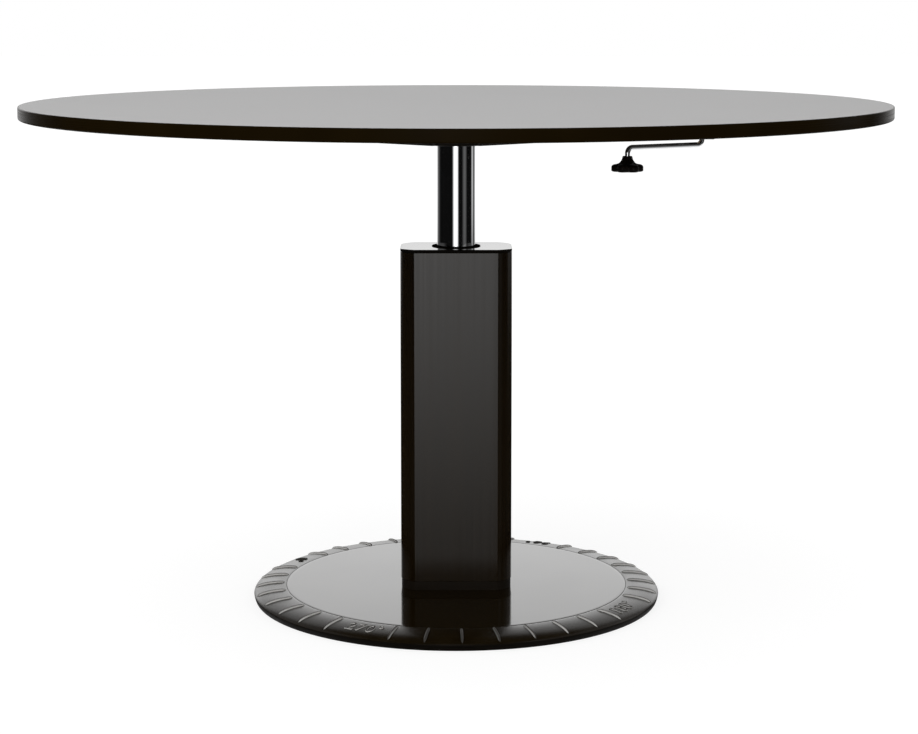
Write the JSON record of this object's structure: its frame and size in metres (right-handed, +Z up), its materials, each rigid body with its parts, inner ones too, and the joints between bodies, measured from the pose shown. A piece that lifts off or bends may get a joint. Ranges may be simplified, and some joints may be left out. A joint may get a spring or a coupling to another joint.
{
  "type": "telescoping pedestal table",
  "caption": "Round table on a telescoping column with a disc base and a ribbed scale ring; a hand crank under the top raises and lowers it by a hidden gear shaft and screw.",
  "frame": {"origin": "floor level at the column's centre line, under the middle of the table top", "axes": "+Z up along the lift; -Y towards the viewer, the front; +X to the viewer's right, where the crank is"},
  "size_m": [1.3398, 1.34, 0.783],
  "materials": {
    "plate_black": "smooth glossy black coat",
    "ring_black": "black coated casting, satin",
    "column_black": "black anodised extrusion, satin",
    "foot_black": "black coated plate",
    "cap_black": "gloss black coat",
    "bush_plastic": "dark bearing plastic",
    "shoe_plastic": "pale bearing plastic",
    "glide_plastic": "hard dark plastic",
    "steel": "bright steel",
    "zinc_screws": "zinc plated steel",
    "alloy": "plain cast alloy",
    "bronze": "bearing bronze",
    "brass_inserts": "brass",
    "chrome": "polished chrome plate",
    "black_iron": "black coated casting",
    "black_steel": "black coated steel",
    "board": "pressed wood board",
    "top_laminate": "fine grey laminate, satin",
    "backing_laminate": "black backing laminate",
    "edge_black": "black edge band, smooth",
    "knob_black": "black moulded knob"
  },
  "bodies": {
    "base": {"base_plate": "plate_black", "base_ring": "ring_black", "ring_screws": "zinc_screws", "floor_glides": "glide_plastic", "column_foot_plate": "foot_black", "foot_screws": "zinc_screws", "column_shell": "column_black", "column_cap_plate": "cap_black", "guide_housing": "alloy", "guide_housing_screws": "zinc_screws", "guide_bush": "bush_plastic", "nut_pillar": "steel", "pillar_screws": "zinc_screws", "lead_nut": "bronze", "nut_lock_pins": "steel"},
    "lift": {"lift_tube": "chrome", "lower_guide_shoe": "shoe_plastic", "shoe_screws": "zinc_screws", "gear_housing": "black_iron", "gear_housing_cover": "black_steel", "gear_housing_screws": "zinc_screws", "hub_set_screws": "zinc_screws", "screw_thrust_bearing": "steel", "arm_front_right": "black_steel", "arm_back_right": "black_steel", "arm_back_left": "black_steel", "arm_front_left": "black_steel", "arm_hub_screws": "zinc_screws", "arm_top_screws": "zinc_screws", "shaft_bush_inner": "bronze", "shaft_bush_outer": "bronze", "crank_gear_housing": "foot_black", "crank_housing_screws": "zinc_screws", "crank_bush": "bronze", "threaded_inserts": "brass_inserts", "tabletop_core": "board", "top_laminate": "top_laminate", "backing_laminate": "backing_laminate", "edge_band": "edge_black"},
    "screw": {"lead_screw": "steel", "screw_bevel_gear": "steel"},
    "shaft": {"drive_shaft": "steel", "shaft_bevel_gear_inner": "steel", "shaft_bevel_gear_outer": "steel", "shaft_retaining_rings": "steel"},
    "crank": {"crank_rod": "chrome", "crank_bevel_gear": "steel", "knob_retainer": "steel"},
    "knob": {"crank_knob": "knob_black", "knob_end_cap": "knob_black"}
  },
  "joints": [
    {"name": "lift_slide", "type": "slide", "parent": "base", "child": "lift", "axis": [0, 0, 1], "range_m": [-0.08, 0.25]},
    {"name": "crank_turn", "type": "hinge", "parent": "lift", "child": "crank", "pos_m": [0.383, 0, 0.745], "axis": [0, 0, 1], "range_deg": [-9000, 2880]},
    {"name": "shaft_turn", "type": "hinge", "parent": "lift", "child": "shaft", "pos_m": [0, 0, 0.745], "axis": [1, 0, 0], "range_deg": [-2880, 9000]},
    {"name": "screw_turn", "type": "hinge", "parent": "lift", "child": "screw", "pos_m": [0, 0, 0.745], "axis": [0, 0, 1], "range_deg": [-2880, 9000]},
    {"name": "knob_spin", "type": "hinge", "parent": "crank", "child": "knob", "pos_m": [0.26176, -0.07, 0.69], "axis": [0, 0, 1], "continuous": true}
  ],
  "couplings": [
    {"joint": "crank_turn", "follows": "lift_slide", "rad_per_m": -628.32},
    {"joint": "shaft_turn", "follows": "lift_slide", "rad_per_m": 628.32},
    {"joint": "screw_turn", "follows": "lift_slide", "rad_per_m": 628.32}
  ]
}
